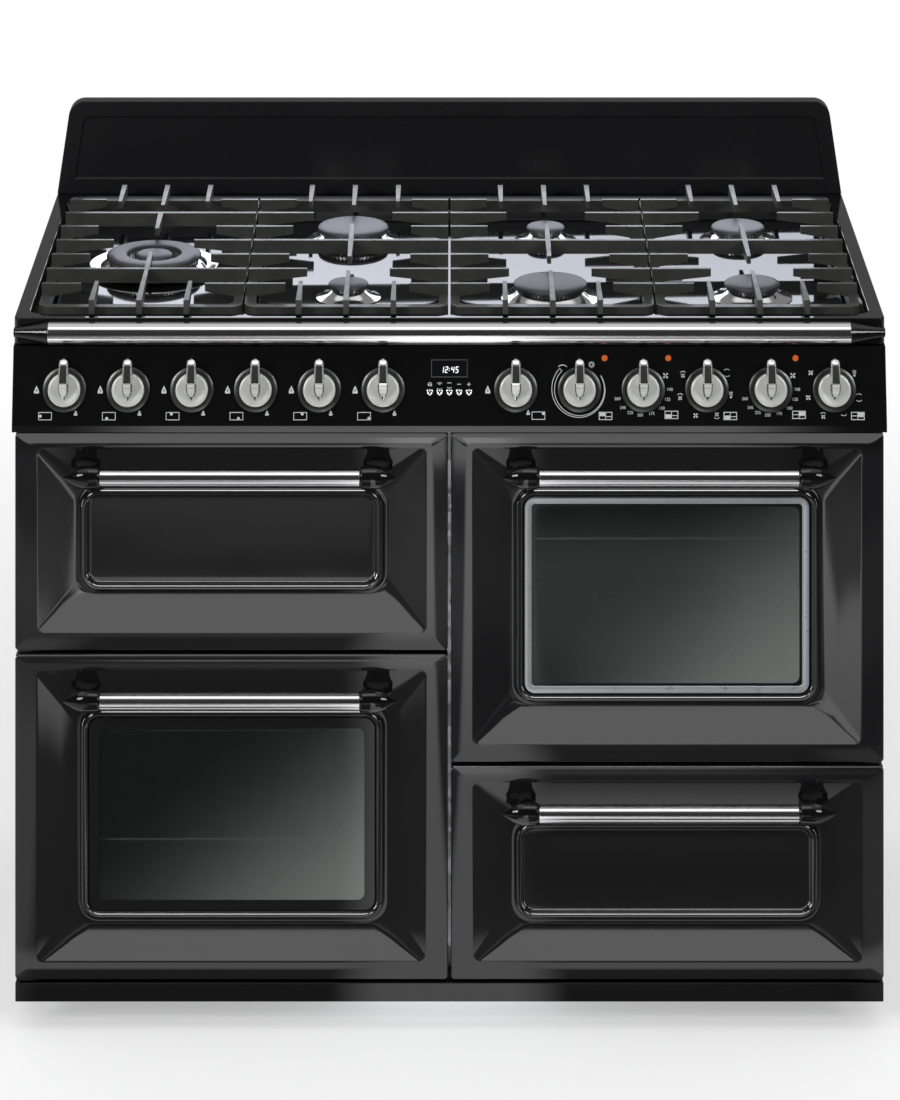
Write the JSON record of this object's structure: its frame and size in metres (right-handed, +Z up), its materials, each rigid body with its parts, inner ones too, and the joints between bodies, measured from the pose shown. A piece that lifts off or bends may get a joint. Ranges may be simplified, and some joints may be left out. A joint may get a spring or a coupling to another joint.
{
  "type": "freestanding range cooker",
  "caption": "Wide freestanding dual fuel range cooker with drop doors, a gas hob under cast iron pan supports, a leaning knob panel and a rear upstand.",
  "frame": {"origin": "on the floor, under the middle of the bounding box", "axes": "+X to the right seen from the front, +Y to the back, +Z up"},
  "size_m": [1.1, 0.651, 1.03],
  "materials": {
    "black_enamel": "gloss vitreous enamel",
    "inner_enamel": "speckled oven enamel",
    "black_paint": "satin",
    "grey_steel": "galvanised sheet",
    "satin_steel": "satin",
    "black_castings": "gloss black",
    "satin_nickel": "satin nickel",
    "dark_glass": "tinted, clear",
    "dark_lens": "gloss",
    "black_plastic": "matt",
    "cast_iron": "matt enamelled",
    "valve_metal": "die cast",
    "cap_enamel": "matt enamel",
    "element_steel": "heat darkened",
    "grey_seal": "matt",
    "shelf_chrome": "polished wire"
  },
  "bodies": {
    "cooker": {"chassis_frame": "grey_steel", "outer_panels": "black_paint", "plinth": "black_enamel", "levelling_feet": "black_plastic", "grill_liner": "inner_enamel", "left_oven_liner": "inner_enamel", "right_oven_liner": "inner_enamel", "storage_liner": "inner_enamel", "heating_elements": "element_steel", "door_seals": "grey_seal", "control_panel": "black_enamel", "panel_lenses": "dark_lens", "control_valves": "valve_metal", "hob_tray": "black_enamel", "front_rail": "satin_steel", "rail_ends": "black_castings", "upstand": "black_enamel", "burner_cups": "valve_metal", "burner_caps": "cap_enamel"},
    "grill_door": {"grill_door_shell": "black_enamel", "grill_door_inner": "inner_enamel", "grill_handle_bar": "satin_steel", "grill_handle_ends": "black_castings"},
    "left_oven_door": {"left_oven_door_shell": "black_enamel", "left_oven_door_inner": "inner_enamel", "left_oven_handle_bar": "satin_steel", "left_oven_handle_ends": "black_castings", "left_oven_door_panes": "dark_glass"},
    "right_oven_door": {"right_oven_door_shell": "black_enamel", "right_oven_door_inner": "inner_enamel", "right_oven_handle_bar": "satin_steel", "right_oven_handle_ends": "black_castings", "right_oven_door_panes": "dark_glass"},
    "storage_door": {"storage_door_shell": "black_enamel", "storage_door_inner": "inner_enamel", "storage_handle_bar": "satin_steel", "storage_handle_ends": "black_castings"},
    "knob_01": {"knob_01": "satin_nickel"},
    "knob_02": {"knob_02": "satin_nickel"},
    "knob_03": {"knob_03": "satin_nickel"},
    "knob_04": {"knob_04": "satin_nickel"},
    "knob_05": {"knob_05": "satin_nickel"},
    "knob_06": {"knob_06": "satin_nickel"},
    "knob_07": {"knob_07": "satin_nickel"},
    "knob_08": {"knob_08": "satin_nickel"},
    "knob_09": {"knob_09": "satin_nickel"},
    "knob_10": {"knob_10": "satin_nickel"},
    "knob_11": {"knob_11": "satin_nickel"},
    "knob_12": {"knob_12": "satin_nickel"},
    "clock_button_1": {"clock_button_1": "satin_nickel"},
    "clock_button_2": {"clock_button_2": "satin_nickel"},
    "clock_button_3": {"clock_button_3": "satin_nickel"},
    "clock_button_4": {"clock_button_4": "satin_nickel"},
    "clock_button_5": {"clock_button_5": "satin_nickel"},
    "pan_support_1": {"pan_support_1": "cast_iron"},
    "pan_support_2": {"pan_support_2": "cast_iron"},
    "pan_support_3": {"pan_support_3": "cast_iron"},
    "pan_support_4": {"pan_support_4": "cast_iron"},
    "left_oven_shelf": {"left_oven_shelf": "shelf_chrome"},
    "right_oven_shelf": {"right_oven_shelf": "shelf_chrome"}
  },
  "joints": [
    {"name": "grill_door_hinge", "type": "hinge", "parent": "cooker", "child": "grill_door", "pos_m": [-0.275, -0.2605, 0.506], "axis": [1, 0, 0], "range_deg": [0, 90]},
    {"name": "left_oven_door_hinge", "type": "hinge", "parent": "cooker", "child": "left_oven_door", "pos_m": [-0.275, -0.2605, 0.091], "axis": [1, 0, 0], "range_deg": [0, 90]},
    {"name": "right_oven_door_hinge", "type": "hinge", "parent": "cooker", "child": "right_oven_door", "pos_m": [0.275, -0.2605, 0.365], "axis": [1, 0, 0], "range_deg": [0, 90]},
    {"name": "storage_door_hinge", "type": "hinge", "parent": "cooker", "child": "storage_door", "pos_m": [0.275, -0.2605, 0.091], "axis": [1, 0, 0], "range_deg": [0, 90]},
    {"name": "knob_01_turn", "type": "hinge", "parent": "cooker", "child": "knob_01", "pos_m": [-0.4845, -0.28535, 0.815], "axis": [0, -0.9781, 0.2081], "range_deg": [0, 210]},
    {"name": "knob_02_turn", "type": "hinge", "parent": "cooker", "child": "knob_02", "pos_m": [-0.4043, -0.28535, 0.815], "axis": [0, -0.9781, 0.2081], "range_deg": [0, 210]},
    {"name": "knob_03_turn", "type": "hinge", "parent": "cooker", "child": "knob_03", "pos_m": [-0.3241, -0.28535, 0.815], "axis": [0, -0.9781, 0.2081], "range_deg": [0, 210]},
    {"name": "knob_04_turn", "type": "hinge", "parent": "cooker", "child": "knob_04", "pos_m": [-0.2439, -0.28535, 0.815], "axis": [0, -0.9781, 0.2081], "range_deg": [0, 210]},
    {"name": "knob_05_turn", "type": "hinge", "parent": "cooker", "child": "knob_05", "pos_m": [-0.1637, -0.28535, 0.815], "axis": [0, -0.9781, 0.2081], "range_deg": [0, 210]},
    {"name": "knob_06_turn", "type": "hinge", "parent": "cooker", "child": "knob_06", "pos_m": [-0.0835, -0.28535, 0.815], "axis": [0, -0.9781, 0.2081], "range_deg": [0, 210]},
    {"name": "knob_07_turn", "type": "hinge", "parent": "cooker", "child": "knob_07", "pos_m": [0.0835, -0.28535, 0.815], "axis": [0, -0.9781, 0.2081], "range_deg": [0, 210]},
    {"name": "knob_08_turn", "type": "hinge", "parent": "cooker", "child": "knob_08", "pos_m": [0.1637, -0.28535, 0.815], "axis": [0, -0.9781, 0.2081], "range_deg": [-270, 0]},
    {"name": "knob_09_turn", "type": "hinge", "parent": "cooker", "child": "knob_09", "pos_m": [0.2439, -0.28535, 0.815], "axis": [0, -0.9781, 0.2081], "range_deg": [-270, 0]},
    {"name": "knob_10_turn", "type": "hinge", "parent": "cooker", "child": "knob_10", "pos_m": [0.3241, -0.28535, 0.815], "axis": [0, -0.9781, 0.2081], "continuous": true},
    {"name": "knob_11_turn", "type": "hinge", "parent": "cooker", "child": "knob_11", "pos_m": [0.4043, -0.28535, 0.815], "axis": [0, -0.9781, 0.2081], "range_deg": [-270, 0]},
    {"name": "knob_12_turn", "type": "hinge", "parent": "cooker", "child": "knob_12", "pos_m": [0.4845, -0.28535, 0.815], "axis": [0, -0.9781, 0.2081], "continuous": true},
    {"name": "clock_button_1_press", "type": "slide", "parent": "cooker", "child": "clock_button_1", "axis": [0, 0.9781, -0.2081], "range_m": [0, 0.001], "stiffness_N_per_m": 400},
    {"name": "clock_button_2_press", "type": "slide", "parent": "cooker", "child": "clock_button_2", "axis": [0, 0.9781, -0.2081], "range_m": [0, 0.001], "stiffness_N_per_m": 400},
    {"name": "clock_button_3_press", "type": "slide", "parent": "cooker", "child": "clock_button_3", "axis": [0, 0.9781, -0.2081], "range_m": [0, 0.001], "stiffness_N_per_m": 400},
    {"name": "clock_button_4_press", "type": "slide", "parent": "cooker", "child": "clock_button_4", "axis": [0, 0.9781, -0.2081], "range_m": [0, 0.001], "stiffness_N_per_m": 400},
    {"name": "clock_button_5_press", "type": "slide", "parent": "cooker", "child": "clock_button_5", "axis": [0, 0.9781, -0.2081], "range_m": [0, 0.001], "stiffness_N_per_m": 400},
    {"name": "pan_support_1_lift", "type": "slide", "parent": "cooker", "child": "pan_support_1", "axis": [0, 0, 1], "range_m": [0, 0.06]},
    {"name": "pan_support_2_lift", "type": "slide", "parent": "cooker", "child": "pan_support_2", "axis": [0, 0, 1], "range_m": [0, 0.06]},
    {"name": "pan_support_3_lift", "type": "slide", "parent": "cooker", "child": "pan_support_3", "axis": [0, 0, 1], "range_m": [0, 0.06]},
    {"name": "pan_support_4_lift", "type": "slide", "parent": "cooker", "child": "pan_support_4", "axis": [0, 0, 1], "range_m": [0, 0.06]},
    {"name": "left_oven_shelf_slide", "type": "slide", "parent": "cooker", "child": "left_oven_shelf", "axis": [0, -1, 0], "range_m": [0, 0.035]},
    {"name": "right_oven_shelf_slide", "type": "slide", "parent": "cooker", "child": "right_oven_shelf", "axis": [0, -1, 0], "range_m": [0, 0.035]}
  ]
}
